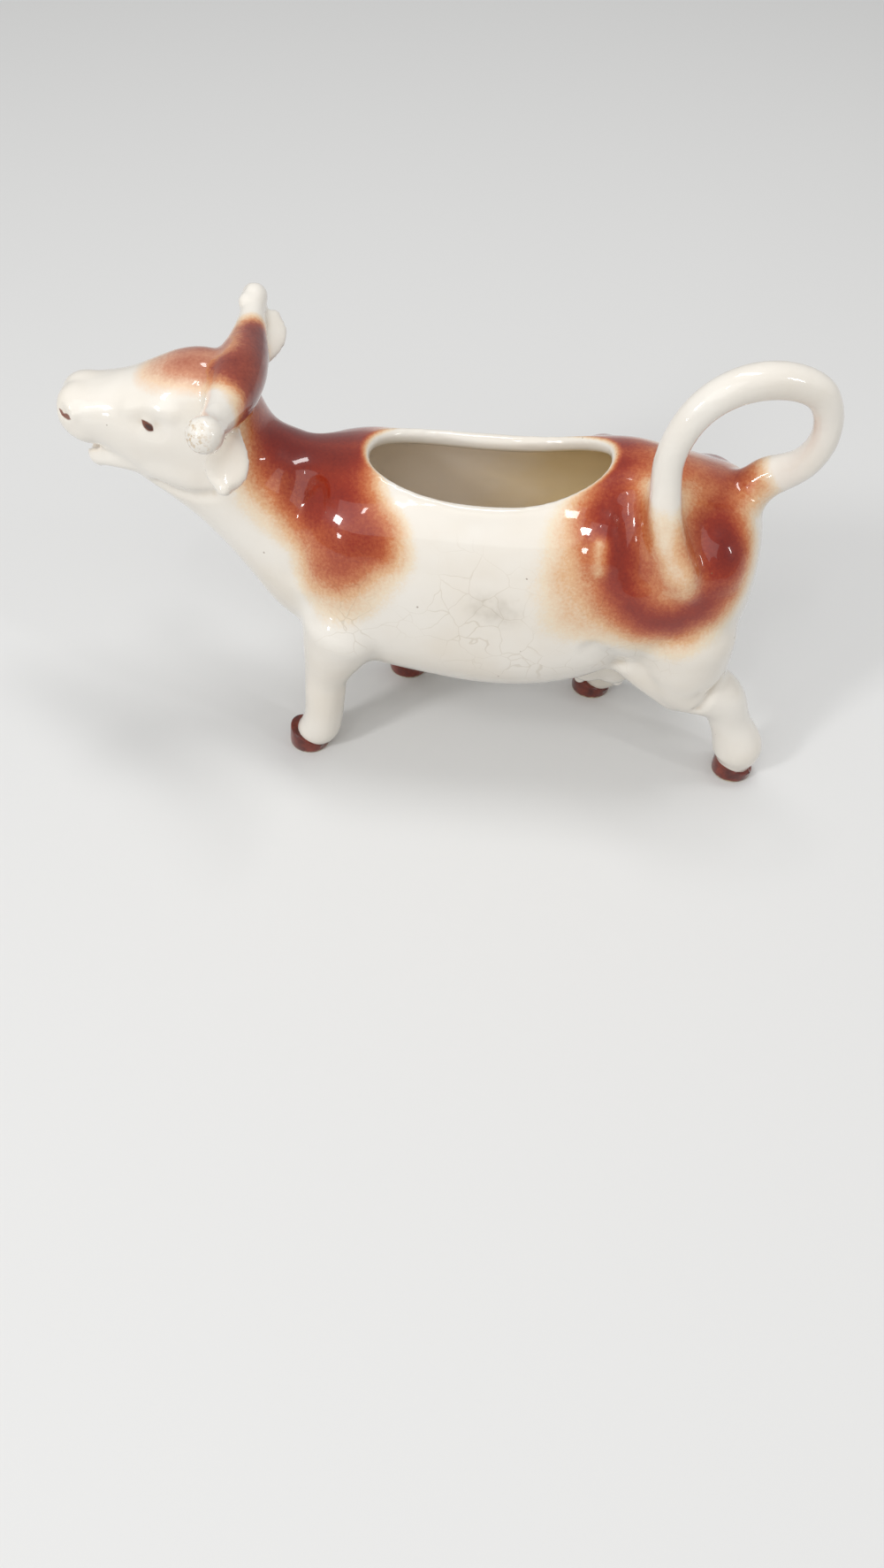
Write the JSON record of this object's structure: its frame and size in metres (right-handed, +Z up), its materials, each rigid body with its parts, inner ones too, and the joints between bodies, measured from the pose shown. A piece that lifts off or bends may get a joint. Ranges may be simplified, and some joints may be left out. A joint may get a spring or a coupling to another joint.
{
  "type": "cow creamer",
  "caption": "Small glazed pottery jug shaped as a walking cow: filled through the back, poured from the muzzle, with the looped tail as its handle.",
  "frame": {"origin": "on the table below the middle of the object's length and width, at the level of the hoof soles", "axes": "+Z up, +X from the head towards the tail, -Y towards the cow's left side"},
  "size_m": [0.1797, 0.065, 0.1208],
  "materials": {
    "patched_glaze": "glossy cream glaze with airbrushed red-brown patches",
    "horn_glaze": "glossy red-brown glaze fading to cream at the tips",
    "cream_glaze": "glossy cream glaze",
    "hoof_glaze": "glossy dark red-brown glaze, bare underneath"
  },
  "bodies": {
    "root": {"body_shell": "patched_glaze", "neck_shell": "patched_glaze", "head_shell": "patched_glaze", "lower_jaw": "cream_glaze", "left_horn": "horn_glaze", "right_horn": "horn_glaze", "left_ear": "cream_glaze", "right_ear": "cream_glaze", "tail_handle": "cream_glaze", "udder": "cream_glaze", "front_left_leg": "cream_glaze", "front_right_leg": "cream_glaze", "hind_left_leg": "cream_glaze", "hind_right_leg": "cream_glaze", "front_left_hoof": "hoof_glaze", "front_right_hoof": "hoof_glaze", "hind_left_hoof": "hoof_glaze", "hind_right_hoof": "hoof_glaze"}
  },
  "joints": []
}
